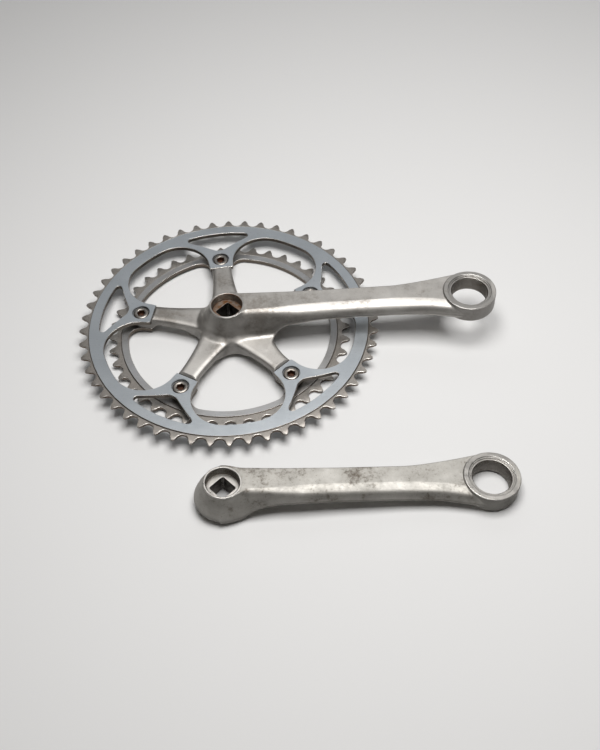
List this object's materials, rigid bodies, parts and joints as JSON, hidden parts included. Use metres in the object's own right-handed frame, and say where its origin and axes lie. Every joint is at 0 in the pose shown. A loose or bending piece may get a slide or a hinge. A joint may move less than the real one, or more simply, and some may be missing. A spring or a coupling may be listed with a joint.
{
  "type": "bicycle crankset",
  "caption": "Bicycle crankset: right arm with a five-legged spider carrying two bolted chainrings, and a loose left arm.",
  "frame": {"origin": "on the spindle axis, in the plane of the outer ring's front face", "axes": "+Z along the spindle axis, outboard; +X from the spindle axis along the right-hand arm towards its pedal eye"},
  "size_m": [0.2956, 0.268, 0.0381],
  "materials": {
    "right_arm_alloy": "satin, lightly stained",
    "outer_ring_anodised": "satin blue-grey anodising, worn bright at the teeth",
    "inner_ring_alloy": "satin, worn",
    "left_arm_alloy": "satin, stained and scratched",
    "chainring_bolt": "plated, worn, rust in the hexagon socket",
    "sleeve_nut": "plated, dull"
  },
  "bodies": {
    "drive_side": {"right_arm": "right_arm_alloy", "outer_ring": "outer_ring_anodised", "inner_ring": "inner_ring_alloy", "chainring_bolt_1": "chainring_bolt", "chainring_bolt_2": "chainring_bolt", "chainring_bolt_3": "chainring_bolt", "chainring_bolt_4": "chainring_bolt", "chainring_bolt_5": "chainring_bolt", "sleeve_nut_1": "sleeve_nut", "sleeve_nut_2": "sleeve_nut", "sleeve_nut_3": "sleeve_nut", "sleeve_nut_4": "sleeve_nut", "sleeve_nut_5": "sleeve_nut"},
    "left_crank": {"left_arm": "left_arm_alloy"}
  },
  "joints": [
    {"name": "left_crank_lift", "type": "slide", "parent": "drive_side", "child": "left_crank", "axis": [0, 0, 1], "range_m": [0, 0.15]}
  ]
}
